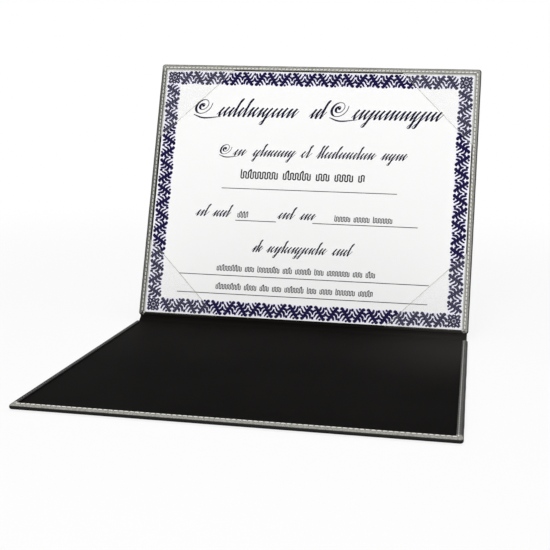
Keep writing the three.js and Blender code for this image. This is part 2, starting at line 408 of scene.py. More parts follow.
def stitch_shape():
    """One stitch along x: a thread of oval section whose ends dive into the leatherette. The section
    at s, from -1 to 1, has the size sqrt(1 - s**6), and its middle lies at 0.2 - 0.45 * s**4."""
    s = np.linspace(-0.985, 0.985, STITCH_RINGS)[:, None]
    around = np.linspace(0, 2 * math.pi, STITCH_SIDES, endpoint=False)[None, :]
    size = np.sqrt(1 - s**6)
    x = np.broadcast_to(s * STITCH_LENGTH / 2, (STITCH_RINGS, STITCH_SIDES))
    y = STITCH_WIDTH / 2 * size * np.cos(around)
    z = (0.2 - 0.45 * s**4) * STITCH_HEIGHT + STITCH_HEIGHT / 2 * size * np.sin(around)
    return np.stack([x, y, z], axis=-1).reshape(-1, 3)


def seam_places(sides):
    """Middle and heading of each stitch on the sides named: 0 far, 1 left, 2 hinge and 3 right."""
    x = COVER_WIDTH / 2 - SEAM_INSET
    near, far = SEAM_INSET, COVER_HEIGHT - SEAM_INSET
    corners = np.array([(x, far), (-x, far), (-x, near), (x, near)])
    middles, headings = [], []
    for side in sides:
        count = SIDE_STITCHES[side]
        start, end = corners[side], corners[(side + 1) % 4]
        heading = (end - start) / np.linalg.norm(end - start)
        start, end = start + heading * INNER_CORNER_RADIUS, end - heading * INNER_CORNER_RADIUS
        share = (np.arange(count)[:, None] + 0.5) / count
        middles.append(start + (end - start) * share)
        headings.append(np.repeat(heading[None, :], count, axis=0))
    return np.concatenate(middles), np.concatenate(headings)


def seam(cover, side, finish):
    """A row of stitches round one face of a cover, on the inner face without the hinge side. Each
    one is turned to its side, slanted a little as lockstitches are, and stands on the channel's
    floor. The point attribute is painted shade that follows the cover's shaded sides."""
    base = stitch_shape()
    middles, headings = seam_places((0, 1, 3) if side > 0 else (0, 1, 2, 3))
    count = len(middles)
    slant = math.radians(STITCH_SLANT) + np.radians(rng.normal(0, SLANT_SPREAD, count))
    c, s = np.cos(slant)[:, None], np.sin(slant)[:, None]
    ahead = headings * c + headings[:, ::-1] * (-1, 1) * s
    aside = ahead[:, ::-1] * (-1, 1) * side
    face = cover.thickness - CHANNEL_DEPTH if side > 0 else BORDER_RISE + CHANNEL_DEPTH
    points = np.zeros((count, len(base), 3))
    points[:, :, :2] = middles[:, None] + base[:, :1] * ahead[:, None] + base[:, 1:2] * aside[:, None]
    points[:, :, 2] = face + side * base[:, 2]
    faces = []
    for number in range(count):
        faces += ring_faces(STITCH_RINGS, STITCH_SIDES, number * len(base))
    word = "inner" if side > 0 else "outer"
    piece = mesh_piece(
        f"{cover.name}_{word}_seam", cover.place(points.reshape(-1, 3)), faces, finish,
        cover.body,
    )
    # Painted shade on the stitches along the shaded sides
    painted_shade = piece.data.attributes.new("painted_shade", "FLOAT", "POINT")
    painted_shade.data.foreach_set("value", painted_side_shade(cover, *points[:, :, :2].reshape(-1, 2).T))


# Spine

def rounded_path(corners, radius, steps=10):
    """A path through corner points in the YZ plane with each inner corner replaced by an arc."""
    corners = [np.array(corner, float) for corner in corners]
    path = [corners[0]]
    for before, corner, after in zip(corners, corners[1:], corners[2:]):
        arriving = (corner - before) / np.linalg.norm(corner - before)
        leaving = (after - corner) / np.linalg.norm(after - corner)
        turn = math.acos(np.clip(arriving @ leaving, -1, 1))
        reach = radius * math.tan(turn / 2)
        t = np.linspace(0, 1, steps + 1)[:, None]
        start, end = corner - arriving * reach, corner + leaving * reach
        arc = (1 - t) ** 2 * start + 2 * t * (1 - t) * corner + t * t * end
        path.extend(arc)
    path.append(corners[-1])
    return np.array(path)


def resample(path, step):
    """The same path with points at an even spacing close to step."""
    lengths = np.concatenate([[0], np.cumsum(np.linalg.norm(np.diff(path, axis=0), axis=1))])
    count = max(2, round(lengths[-1] / step) + 1)
    even = np.linspace(0, lengths[-1], count)
    return np.stack([np.interp(even, lengths, path[:, axis]) for axis in (0, 1)], axis=1)


def soft_strip(name, path, half_length, low, high, finish, wrinkle):
    """A closed strip along the spine. Each ring is a thin rectangle with half-round ends, from low to
    high above one point of the path, and the rings waver by a fine wrinkle."""
    ahead = np.gradient(path, axis=0)
    ahead /= np.linalg.norm(ahead, axis=1)[:, None]
    above = np.stack([-ahead[:, 1], ahead[:, 0]], axis=1)
    radius = (high - low) / 2
    middle = (high + low) / 2
    across = np.linspace(-(half_length - radius), half_length - radius, SPINE_COLUMNS)
    turn = np.radians(np.linspace(-90, 90, 7)[1:-1])
    end_x = half_length - radius + radius * np.cos(turn)
    end_z = radius * np.sin(turn)
    flat = np.full(SPINE_COLUMNS, radius)
    x = np.concatenate([across, end_x, across[::-1], -end_x[::-1]])
    offset = np.concatenate([-flat, end_z, flat, end_z[::-1]]) + middle
    ripple = slow_wave(*np.meshgrid(x, 1.2 * np.arange(len(path))), length=2.2, seed=11)
    height = offset + wrinkle * ripple
    rings = np.zeros((len(path), len(x), 3))
    rings[:, :, 0] = x
    for axis in (0, 1):
        rings[:, :, axis + 1] = path[:, axis, None] + above[:, axis, None] * height
    points = rings[:, ::-1].reshape(-1, 3) * MM
    return mesh_piece(name, points, ring_faces(len(path), len(x)), finish, None)


def spine(finish, lining_finish):
    """The spine's leatherette and lining, each in two halves that meet along the middle."""
    first, second = lower_crease[1:], upper_crease[1:]
    level = np.array([1.0, 0.0])
    along_spine = (second - first) / np.linalg.norm(second - first)
    ahead_up = upper_turn[1:, 1]
    start = first - level * (CREASE_OFFSET + SPINE_OVERLAP)
    end = second + ahead_up * (CREASE_OFFSET + SPINE_OVERLAP)
    path = resample(rounded_path([start, first, second, end], CREASE_ROUNDING), SPINE_STEP)
    half = len(path) // 2
    half_length = COVER_WIDTH / 2 - SPINE_MARGIN
    halves = [
        ("lower", path[: half + 1], "lower_cover", "spine", first, level, along_spine),
        ("upper", path[half:], "spine", "upper_cover", second, along_spine, ahead_up),
    ]
    leathers, linings = [], []
    for word, part, a, b, crease, before, after in halves:
        leather = soft_strip(
            f"spine_leather_{word}_half", part, half_length, -LEATHER / 2, LEATHER / 2, finish,
            LEATHER_WRINKLE,
        )
        lining = soft_strip(
            f"spine_lining_{word}_half", part, half_length - LINING_MARGIN, LEATHER / 2 + LAYER_GAP,
            LEATHER / 2 + LAYER_GAP + SPINE_LINING, lining_finish, LINING_WRINKLE,
        )
        begin = crease - before * CREASE_REACH
        finish_at = crease + after * CREASE_REACH
        for piece in (leather, lining):
            begin[0] * MM
            begin[1] * MM
            finish_at[0] * MM
            finish_at[1] * MM
            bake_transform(piece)
        leathers.append(leather)
        linings.append(lining)
    for piece in leathers:
        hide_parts("spine_leather")
    for piece in linings:
        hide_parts("spine_lining")


# Print on the certificate, drawn in millimetres from the sheet's top left corner, y downwards

SHEET_LOW, SHEET_HIGH = upper_cover.node_span("certificate")
SHEET_CORNERS = np.array([(0, 0), (1, 0), (1, 1), (0, 1)])
INK_LIFT = 0.02
TINT_LIFT = 0.01


class Print:
    """Flat shapes of one ink, gathered into one mesh of quads."""

    def __init__(self):
        self.points = []
        self.faces = []
        self.count = 0

    def add(self, points, faces):
        """Points on the sheet, and quads that number them from 0."""
        self.points.append(np.asarray(points, float))
        self.faces += (np.asarray(faces) + self.count).tolist()
        self.count += len(points)

    def stroke(self, path, width):
        """A pen stroke: a ribbon along the path whose width may change from point to point."""
        path = np.asarray(path, float)
        ahead = np.gradient(path, axis=0)
        ahead /= np.maximum(np.linalg.norm(ahead, axis=1), 1e-9)[:, None]
        aside = np.stack([-ahead[:, 1], ahead[:, 0]], axis=1)
        half = np.broadcast_to(np.asarray(width, float) / 2, len(path))[:, None]
        points = np.concatenate([path + aside * half, path - aside * half])
        n = len(path)
        i = np.arange(n - 1)
        self.add(points, np.stack([i, i + 1, i + 1 + n, i + n], axis=1))

    def bar(self, x0, x1, y0, y1):
        """An upright rectangle."""
        self.add([(x0, y0), (x1, y0), (x1, y1), (x0, y1)], [(0, 1, 2, 3)])

    def disc(self, centre, radius):
        """A ten-sided dot, made of four quads that share a corner."""
        angle = np.linspace(0, 2 * math.pi, 10, endpoint=False)
        ring = np.asarray(centre) + radius * np.stack([np.cos(angle), np.sin(angle)], axis=1)
        self.add(ring, [(0, step, step + 1, step + 2) for step in range(1, 9, 2)])

    def piece(self, name, finish, lift=INK_LIFT):
        """The gathered shapes on the sheet, raised off it by lift, with every face towards the
        reader."""
        flat = np.concatenate(self.points)
        own = np.column_stack([
            SHEET_LOW[0] + flat[:, 0],
            SHEET_HIGH[1] - flat[:, 1],
            np.full(len(flat), SHEET_HIGH[2] + lift),
        ])
        faces = np.array(self.faces)
        (ax, ay), (bx, by), (cx, cy) = (own[faces[:, corner], :2].T for corner in range(3))
        away = (bx - ax) * (cy - ay) - (by - ay) * (cx - ax) <= 0
        faces[away] = faces[away, ::-1]
        mesh_piece(
            name, upper_cover.place(own), faces.tolist(), finish, "upper_cover", smooth=False
        )


def smooth_pen(points, steps=7):
    """Catmull-Rom curve through the points."""
    p = np.asarray(points, float)
    p = np.concatenate([2 * p[:1] - p[1:2], p, 2 * p[-1:] - p[-2:-1]])
    t = np.linspace(0, 1, steps, endpoint=False)[None, :, None]
    a, b, c, d = (p[i : len(p) - 3 + i][:, None, :] for i in range(4))
    curve = 0.5 * (2 * b + (c - a) * t + (2 * a - 5 * b + 4 * c - d) * t**2
                   + (3 * b - a - 3 * c + d) * t**3)
    return np.concatenate([curve.reshape(-1, 2), p[-2:-1]])


def taper(steps, thick, thin):
    """Stroke width that swells from near thin to thick and back, as a sine."""
    return thin + (thick - thin) * np.sin(np.linspace(0.12, 0.95, steps) * math.pi)


BORDER_MARGIN = 0.9
BORDER_BAND = 11.2
MOTIF_PITCH = 10.4
PETALS = 8
SHORT_PETAL = 4.9
LONG_PETAL = 6.3
PETAL_PEN = 1.5
FLOWER_DOT = 1.3

# Points of one frond's strokes, in millimetres from its middle
STEM = [(-4.1, -3.6), (-3.3, -4.9), (-1.8, -2.8), (0, 0), (1.8, 2.8), (3.3, 4.9), (4.1, 3.6)]
BROAD_LEAVES = [
    [(0.9, 2.0), (-0.5, 3.1), (-1.0, 5.2)],
    [(-0.6, 0.1), (-2.7, 1.2), (-3.3, 4.7)],
    [(-2.0, -2.2), (-4.3, -1.3), (-5.2, 1.4)],
    [(-5.2, 2.9), (-5.0, 4.0), (-5.2, 5.2)],
]
NARROW_LEAVES = [
    [(0.8, 1.8), (-0.6, 2.3), (-2.4, 5.0)],
    [(-0.6, 0.0), (-2.6, 0.2), (-4.3, 3.4)],
    [(-2.1, -2.2), (-3.8, -2.0), (-5.3, -0.2)],
    [(-0.4, 5.2), (0.5, 4.9), (1.0, 4.1)],
]


def leaf_motif(side):
    """One frond of the running border, in a frame with x along the band and y across it: a slanted
    stem with broad leaves on one hand of it and narrow ones on the other. The side turns it over."""
    strokes = [(smooth_pen(STEM), 1.5, 2.6)]
    strokes += [(smooth_pen(leaf), 0.9, 2.2) for leaf in BROAD_LEAVES]
    strokes += [(-smooth_pen(leaf), 0.8, 1.8) for leaf in NARROW_LEAVES]
    return [(path * (1, side), taper(len(path), thick, thin)) for path, thin, thick in strokes]


def sheet_corners(inset):
    """The sheet's four corners, each moved in by the inset from both of its sides."""
    return SHEET_CORNERS * (SHEET_HIGH[:2] - SHEET_LOW[:2] - 2 * inset) + inset


def rosette(ink, middle):
    """A flower in a corner of the border: long and short petals by turns, each of two bowed strokes,
    round a dot."""
    ink.disc(middle, FLOWER_DOT)
    for number in range(PETALS):
        angle = 2 * math.pi * number / PETALS
        ahead = np.array([math.cos(angle), math.sin(angle)])
        aside = np.array([-ahead[1], ahead[0]])
        length = LONG_PETAL if number % 2 else SHORT_PETAL
        for hand in (-1, 1):
            bow = [1.7 * ahead, 3.5 * ahead + 1.1 * hand * aside, length * ahead + 0.25 * hand * aside]
            ink.stroke(middle + smooth_pen(bow), PETAL_PEN)


def border(ink):
    """The running fronds along each side of the band, and a rosette at each corner."""
    corners = sheet_corners(BORDER_MARGIN + BORDER_BAND / 2)
    for start, end in zip(corners, np.roll(corners, -1, axis=0)):
        length = np.linalg.norm(end - start) - BORDER_BAND
        ahead = (end - start) / np.linalg.norm(end - start)
        aside = np.array([-ahead[1], ahead[0]])
        count = round(length / MOTIF_PITCH)
        stretch = length / count / MOTIF_PITCH
        for number in range(count):
            middle = start + ahead * (BORDER_BAND / 2 + length * (number + 0.5) / count)
            for path, width in leaf_motif(1 if number % 2 else -1):
                ink.stroke(middle + path[:, :1] * ahead * stretch + path[:, 1:] * aside, width)
        rosette(ink, start)


def tint_band(tint):
    """The pale ground of the border: four bars that meet in mitred corners."""
    outer, inner = sheet_corners(BORDER_MARGIN), sheet_corners(BORDER_MARGIN + BORDER_BAND)
    for corner in range(4):
        following = (corner + 1) % 4
        points = [outer[corner], outer[following], inner[following], inner[corner]]
        tint.add(points, [(0, 1, 2, 3)])


# A stroke's height as a share of the line's, below the line where it is negative, and its chance
STROKE_HEIGHTS = (1.0, 0.92, 1.06, 0.86, 1.9, -0.9)
STROKE_CHANCES = (0.26, 0.23, 0.19, 0.16, 0.1, 0.06)
STROKE_PITCH = 0.56
SLANT = 0.56


def pen_line(ink, path, thick, hair=0.27, contrast=1.3):
    """A pen line along the path, thick where the pen moves down and a share of that, hair, where it
    moves up. The width follows the steepness to the power of the contrast."""
    ahead = np.gradient(path, axis=0)
    down = np.clip(ahead[:, 1] / np.maximum(np.linalg.norm(ahead, axis=1), 1e-9), 0, 1)
    ink.stroke(path, hair * thick + (1 - hair) * thick * down**contrast)


def flourish(ink, x0, x1, baseline, height, thick):
    """A wordless run of slanted pen strokes between x0 and x1, most of them as high as height, joined
    at the foot by hairlines. A few rise in a loop or drop below the line."""
    count = max(2, round((x1 - x0) / (STROKE_PITCH * height)))
    step = (x1 - x0) / count
    pen = [(x0 - 0.4 * step, baseline - 0.15 * height)]
    for number in range(count):
        rise = STROKE_HEIGHTS[rng.choice(len(STROKE_HEIGHTS), p=STROKE_CHANCES)]
        top = max(rise, 1.0) * height
        foot = min(rise, 0.0) * height
        bow = rng.uniform(-0.22, 0.1) * step
        x = x0 + number * step
        pen.append((x + SLANT * top + 0.1 * step, baseline - top))
        if rise > 1.5:
            pen.append((x + SLANT * top - 0.3 * step, baseline - 0.95 * top))
        pen.append((x + SLANT * 0.5 * top + bow, baseline - 0.5 * top))
        if foot < 0:
            pen.append((x + SLANT * foot - 0.1 * step, baseline - 0.9 * foot))
            pen.append((x + SLANT * foot - 0.5 * step, baseline - 0.8 * foot))
        pen.append((x + 0.12 * step, baseline + 0.02 * height))
        pen.append((x + 0.5 * step, baseline - 0.16 * height))
    pen.append((x1 + 0.3 * height, baseline - 0.75 * height))
    pen_line(ink, smooth_pen(pen), thick)


def volute(ink, x, y, size, thick):
    """An ornamental curl that opens a heading: a slanted oval spiral of two turns, and a long tail
    under the strokes that follow."""
    turn = np.linspace(0, 4.1 * math.pi, 26)
    radius = size * (0.08 + 0.62 * turn / turn[-1])
    rise = radius * np.sin(turn)
    curl = np.stack([x + 0.95 * radius * np.cos(turn) + 0.35 * rise, y - rise], axis=1)
    pen_line(ink, smooth_pen(curl, 4), thick, hair=0.3, contrast=1.5)
    tail = np.array([x, y]) + size * np.array([(-0.7, 0.7), (0.1, 0.95), (1.4, 0.82)])
    ink.stroke(smooth_pen(tail, 12), taper(25, 0.6 * thick, 0.1 * thick))
    ink.disc((x, y), 0.6 * thick)


# Typed words, as shares of their height
TYPED_PITCH = 0.3
TYPED_LEVEL = 0.72
TALL_LEVEL = 1.05
TYPED_PEN = 0.165
WORD_GAP = 0.5


def typed(ink, x0, x1, baseline, height):
    """Typed words as an upright running wave of even weight, broken after each word. A few strokes
    are taller than the rest."""
    pitch = height * TYPED_PITCH
    x = x0
    while x < x1 - 2 * pitch:
        strokes = min(2 * int(rng.integers(3, 9)), int((x1 - x) / pitch))
        pen = []
        for number in range(strokes):
            level = TYPED_LEVEL * height
            if number % 2 == 0 and rng.random() < 0.3:
                level = TALL_LEVEL * height
            top, foot = baseline - level, baseline
            first, last = (foot, top) if number % 2 else (top, foot)
            pen += [(x, first), (x, 0.5 * (first + last)), (x, last)]
            x += pitch
        ink.stroke(smooth_pen(pen, 3), TYPED_PEN * height)
        x += WORD_GAP * height


# Each line of script: its baseline, its height, the pen's width, and where its runs begin and end
HEADINGS = [
    (38.4, 7.4, 1.85, [(47, 112), (124, 135), (159, 229)]),
    (71.4, 5.0, 1.3, [(63, 72), (79, 113), (119, 126), (132, 178), (184, 203)]),
    (122.4, 4.8, 1.25, [(36, 45), (50, 63), (104, 116), (122, 133)]),
    (150.0, 4.8, 1.25, [(85, 92), (97, 144), (150, 164)]),
]

# Each curl: its middle, its size and the pen's width
CURLS = [(33.5, 30.0, 11.0, 2.1), (147, 30.0, 11.0, 2.1), (55.5, 66.0, 7.4, 1.5)]

# Each typed line: its begin and end, its baseline and its height
TYPED_LINES = [
    (70.4, 173.4, 89.8, 6.6),
    (70.4, 80.8, 122.4, 4.4),
    (149.7, 196.9, 122.4, 4.4),
    (57.0, 185.6, 166.3, 4.4),
    (57.4, 185.3, 181.2, 4.4),
]

# Each ruled line: its begin and end, and how far down it lies
RULED_LINES = [
    (54.9, 197.8, 98.9),
    (68.6, 102.1, 125.2),
    (131.8, 215.7, 125.2),
    (25.5, 227.0, 170.4),
    (25.2, 226.6, 185.3),
]
RULE_WIDTH = 0.62


def certificate_print(navy, indigo, grey, lilac):
    """The border on its pale ground, the script with its curls, the typed lines and the rules."""
    script, marks, rules, scrolls, tint = Print(), Print(), Print(), Print(), Print()
    tint_band(tint)
    tint.piece("border_tint", lilac, TINT_LIFT)
    border(scrolls)
    scrolls.piece("border_print", indigo)
    for baseline, height, thick, runs in HEADINGS:
        for x0, x1 in runs:
            flourish(script, x0, x1, baseline, height, thick)
    for curl in CURLS:
        volute(script, *curl)
    script.piece("script_print", navy)
    for line in TYPED_LINES:
        typed(marks, *line)
    marks.piece("typed_print", grey)
    for x0, x1, y in RULED_LINES:
        rules.bar(x0, x1, y - RULE_WIDTH / 2, y + RULE_WIDTH / 2)
    rules.piece("ruled_lines", grey)


# Corner pockets

# The weld's middle lies a shift past the rim's edge, and its end a shortening before the mouth
WELD_WIDTH = 1.5
WELD_SHIFT = 0.25
WELD_SHORTENING = 3.0
MOUTH_WIDTH = 0.5
TRIM_THICKNESS = 0.05
TRIM_LIFT = 0.005


def flat_bar(start, end, width, base):
    """Points of a thin bar along a line on the cover, with its ends square to the line."""
    start, end = np.array(start, float), np.array(end, float)
    ahead = (end - start) / np.linalg.norm(end - start)
    aside = np.array([-ahead[1], ahead[0]]) * width / 2
    ring = [start - aside, end - aside, end + aside, start + aside]
    return np.array([(*corner, z) for z in (base, base + TRIM_THICKNESS) for corner in ring])


def pocket_trim(name, x_side, at_top, weld, mouth):
    """The film's thickened edges: the diagonal mouth, and the white weld along each leg that lies
    under a rim, which closes the gap between the sheet and the rim."""
    film_top = upper_cover.node_span(f"corner_pocket_{name}")[1][2]
    y_side = 1 if at_top else -1
    x = x_side * (COVER_WIDTH / 2 - POCKET_INSET)
    y = COVER_HEIGHT - POCKET_INSET if at_top else POCKET_INSET

    def bar(start, end, width):
        """A bar between two places, each so far in from the side leg and from the other leg."""
        (x0, y0), (x1, y1) = start, end
        return flat_bar(
            (x - x_side * x0, y - y_side * y0), (x - x_side * x1, y - y_side * y1),
            width, film_top + TRIM_LIFT,
        )

    leg = POCKET_REACH - 2 * POCKET_INSET
    slip = MOUTH_WIDTH * 0.6
    under_rim = RIM_WIDTH - POCKET_INSET + WELD_SHIFT
    weld_end = leg - WELD_SHORTENING
    mouth_bars = [bar((leg - 2 * slip, slip), (slip, leg - 2 * slip), MOUTH_WIDTH)]
    weld_bars = [bar((under_rim, 0), (under_rim, weld_end), WELD_WIDTH)]
    if at_top:
        weld_bars.insert(0, bar((weld_end, under_rim), (0, under_rim), WELD_WIDTH))
    closed_bar = np.array(ring_faces(2, 4))
    for word, bars, finish in (("mouth", mouth_bars, mouth), ("weld", weld_bars, weld)):
        faces = np.concatenate([closed_bar + 8 * number for number in range(len(bars))])
        mesh_piece(
            f"pocket_{word}_{name}", upper_cover.place(np.concatenate(bars)), faces.tolist(), finish,
            "upper_cover", smooth=False,
        )


# Materials

class Number:
    """A shader number. The operators add Math nodes and return the result."""

    def __init__(self, nodes, socket):
        self.nodes = nodes
        self.socket = socket

    def math(self, operation, *others):
        """The result of a Math node."""
        return self.nodes.number("ShaderNodeMath", {"operation": operation}, self, *others)

    def __add__(self, other):
        return self.math("ADD", other)

    __radd__ = __add__

    def __mul__(self, other):
        return self.math("MULTIPLY", other)

    __rmul__ = __mul__

    def __sub__(self, other):
        return self.math("SUBTRACT", other)

    def __rsub__(self, other):
        return self.nodes.number("ShaderNodeMath", {"operation": "SUBTRACT"}, other, self)

    def ramp(self, low, high, bottom=0.0, top=1.0):
        """Bottom below low, top above high and a smooth rise between them."""
        settings = {"interpolation_type": "SMOOTHSTEP"}
        return self.nodes.number("ShaderNodeMapRange", settings, self, low, high, bottom, top)


class Nodes:
    """A node tree that gets all its nodes from one method."""

    def __init__(self, tree):
        self.tree = tree

    def put(self, socket, value):
        """Links a socket to what varies, or sets it to a plain value."""
        if isinstance(value, Number):
            value = value.socket
        if isinstance(value, bpy.types.NodeSocket):
            self.tree.links.new(value, socket)
        else:
            socket.default_value = value

    def node(self, kind, settings, *inputs, **named):
        """Adds a node: its settings first, then the values or links of its sockets."""
        node = self.tree.nodes.new(kind)
        for key, value in settings.items():
            setattr(node, key, value)
        sockets = list(zip(node.inputs, inputs))
        sockets += [(node.inputs[key.replace("_", " ")], value) for key, value in named.items()]
        for socket, value in sockets:
            self.put(socket, value)
        return node

    def number(self, kind, settings, *inputs, **named):
        """The first output of a new node."""
        return Number(self, self.node(kind, settings, *inputs, **named).outputs[0])

    def seen_directly(self):
        """1 for rays from the camera, and for the ones that gloss or clear film sends on."""
        path = self.node("ShaderNodeLightPath", {}).outputs
        total = Number(self, path["Is Camera Ray"])
        for name in ("Is Glossy Ray", "Is Transmission Ray"):
            total = total.math("MAXIMUM", path[name])
        return total


class Finish(Nodes):
    """A material whose Principled shader gets its sockets set here and its patterns from nodes."""

    def __init__(self, name, **constants):
        self.material = bpy.data.materials.new(name)
        self.material.use_nodes = True
        super().__init__(self.material.node_tree)
        self.shader = self.tree.nodes["Principled BSDF"]
        for socket, value in constants.items():
            self.feed(socket.replace("_", " "), value)

    def feed(self, socket, value):
        """Gives one of the shader's sockets its value or link."""
        self.put(self.shader.inputs[socket], value)

    def place(self, scale=(1, 1, 1)):
        """Object coordinates in metres, stretched by scale."""
        coordinates = self.node("ShaderNodeTexCoord", {}).outputs["Object"]
        return self.node("ShaderNodeMapping", {}, Vector=coordinates, Scale=scale).outputs[0]

    def position(self, axis):
        """One of the object coordinates, in metres."""
        node = self.node("ShaderNodeSeparateXYZ", {}, self.place())
        return Number(self, node.outputs[axis])

    def attribute(self, name):
        """A number kept on the mesh."""
        node = self.node("ShaderNodeAttribute", {"attribute_name": name})
        return Number(self, node.outputs["Fac"])

    def noise(self, size, detail=3.0, roughness=0.5, scale=(1, 1, 1)):
        """Soft noise with features of about size metres."""
        node = self.node(
            "ShaderNodeTexNoise", {},
            Vector=self.place(scale), Scale=1 / size, Detail=detail, Roughness=roughness,
        )
        return Number(self, node.outputs["Fac"])

    def cells(self, size):
        """Distance to the nearest of scattered points, about size metres apart, smoothed between
        them."""
        settings = {"feature": "SMOOTH_F1"}
        node = self.node("ShaderNodeTexVoronoi", settings, Vector=self.place(), Scale=1 / size)
        return Number(self, node.outputs["Distance"])

    def blend(self, share, low, high):
        """A colour between two, by share."""
        node = self.node("ShaderNodeMix", {"data_type": "RGBA"}, share)
        for socket, colour in ((node.inputs[6], low), (node.inputs[7], high)):
            self.put(socket, (*colour, 1) if isinstance(colour, tuple) else colour)
        return node.outputs[2]

    def bump(self, height, distance, strength):
        """Fine relief of a height, up to distance metres deep."""
        node = self.node("ShaderNodeBump", {}, Height=height, Distance=distance, Strength=strength)
        self.feed("Normal", node.outputs["Normal"])


def leatherette_finish():
    """Dark grey-brown grained leatherette: pebbles about a millimetre wide with fine pores, mottled
    in colour and sheen, with painted shade that makes it nearly black round the edge and a painted
    highlight that makes it pale where it turns in."""
    finish = Finish("dark_leatherette", IOR=1.5, Specular_IOR_Level=0.12)
    pebbles = finish.cells(0.0011)
    pores = finish.noise(0.00035, 4.0)
    creases = finish.noise(0.004, 5.0, 0.6)
    cloud = finish.noise(0.009, 4.0, 0.6)
    finish.bump(pebbles * 0.6 + pores * 0.25 + creases * 0.6, 0.00025, 0.7)
    mottle = (cloud * 0.45 + creases * 0.35 + pores * 0.2).ramp(0.38, 0.62)
    skin = finish.blend(mottle, (0.006, 0.0055, 0.0048), (0.03, 0.027, 0.0235))
    raised = finish.attribute("painted_rim_light")
    # Painted shade: the edge wall and rim go nearly black
    dark = finish.blend(raised.ramp(0.0, 0.12), skin, (0.004, 0.0037, 0.0034))
    # Painted highlight: a speckled pale grey on the rim's shoulder
    highlight_grey = finish.blend(pores.ramp(0.3, 0.7), (0.14, 0.139, 0.124), (0.46, 0.456, 0.41))
    # Where the painted highlight lies: high on the rim, speckled
    painted_rim_light = raised.ramp(0.66, 0.82) * (pebbles * 0.5 + cloud * 0.6 + 0.35).ramp(0.0, 1.0)
    finish.feed("Base Color", finish.blend(painted_rim_light, dark, highlight_grey))
    finish.feed("Roughness", 0.52 - mottle * 0.08 + pores * 0.1)
    return finish.material


def lining_finish():
    """Matt black lining with a faint satin grain and soft clouds, and a painted sheen that makes it
    paler towards the spine and most of all at the right there."""
    finish = Finish("black_lining", IOR=1.4, Specular_IOR_Level=0.012)
    grain = finish.noise(0.0004, 2.0)
    cloud = finish.noise(0.06, 3.0)
    finish.bump(grain, 0.00005, 0.4)
    # Painted sheen: paler towards the spine, most of all at the right
    to_the_right = finish.position("X").ramp(0.03, 0.14, 0.15, 0.9)
    share = cloud * 0.16 + finish.position("Y").ramp(-0.02, 0.09) * to_the_right
    finish.feed("Base Color", finish.blend(share, (0.0022, 0.002, 0.0018), (0.024, 0.0218, 0.0205)))
    finish.feed("Roughness", 0.6 - share * 0.06 + grain * 0.06)
    return finish.material


def paper_finish():
    """Smooth white certificate paper with a very faint tooth."""
    finish = Finish("certificate_paper", Specular_IOR_Level=0.2)
    tooth = finish.noise(0.0005, 3.0)
    finish.bump(tooth, 0.00002, 0.3)
    finish.feed("Base Color", finish.blend(tooth, (0.88, 0.88, 0.875), (0.91, 0.91, 0.905)))
    finish.feed("Roughness", tooth * 0.1 + 0.6)
    return finish.material


def ink_finish(name, dark, light):
    """Printed ink with slightly uneven cover."""
    finish = Finish(name, Specular_IOR_Level=0.06)
    cover = finish.noise(0.0012, 3.0)
    finish.feed("Base Color", finish.blend(cover.ramp(0.3, 0.8), dark, light))
    finish.feed("Roughness", cover * 0.1 + 0.5)
    return finish.material


def thread_finish():
    """Off-white polyester thread with a fine twist, darkened to nearly black by painted shade where
    the point attribute is 1.
    """
    finish = Finish("off_white_thread", Sheen_Weight=0.2)
    fibre = finish.noise(0.00018, 3.0)
    finish.bump(fibre, 0.00005, 0.6)
    clean = finish.blend(fibre, (0.76, 0.75, 0.7), (0.9, 0.89, 0.86))
    # Painted shade: the thread goes nearly black along the shaded sides
    finish.feed("Base Color", finish.blend(finish.attribute("painted_shade"), clean, (0.05, 0.048, 0.044)))
    finish.feed("Roughness", fibre * 0.15 + 0.6)
    return finish.material


def film_finish(name, colour, low, high):
    """Glossy film with light scuffs, whose cover goes from low to high."""
    finish = Finish(name, IOR=1.45, Base_Color=(*colour, 1))
    scuff = finish.noise(0.003, 4.0, 0.6, (1, 6, 6))
    finish.feed("Roughness", scuff.ramp(0.45, 0.75) * 0.15 + 0.1)
    finish.feed("Alpha", scuff.ramp(0.4, 0.8) * (high - low) + low)
    return finish.material


def plain_layer_finish(name, dark, light, size):
    """A hidden layer's own stuff: speckled by fine noise."""
    finish = Finish(name)
    speckle = finish.noise(size, 4.0, 0.6)
    finish.feed("Base Color", finish.blend(speckle.ramp(0.3, 0.7), dark, light))
    finish.feed("Roughness", speckle * 0.1 + 0.85)
    return finish.material


def dress(node, finish):
    """Gives one of the frame's own pieces its finish."""
    piece = frame["nodes"][node]
    piece.data.materials.clear()
    piece.data.materials.append(finish)


# Studio

# The photograph's camera: its focal length and principal point in pixels of a 550 x 550 picture, its
# place in metres, and the degrees that it is turned to the left of +Y, downwards and in its roll
FOCAL_PIXELS = 927.05
PICTURE = 550.0
CENTRE_PIXEL = (326.4, 276.7)
CAMERA_PLACE = (0.13015, -0.5864, 0.18581)
CAMERA_AZIMUTH = 8.894
CAMERA_PITCH = 11.205
CAMERA_ROLL = 1.185
SENSOR = 36.0

WHITE = (1, 1, 1, 1)
WORLD_LIGHT = 0.42
FLOOR_HALF = 3.0
FLOOR_WHITENESS = 0.84
SHADOW_REACH = (0.3, 1.0)

# Each lamp's place and target, its size in metres and its power in watts
LAMPS = {
    "key": ((-0.27, -1.38, 1.03), (0, 0.14, 0.1), 0.6, 9.9),
    "top": ((0.15, 0.2, 1.5), (0, 0, 0), 0.6, 6),
    "fill": ((0.1, -0.95, 0.15), (0, 0.12, 0.0), 0.5, 3.2),
}


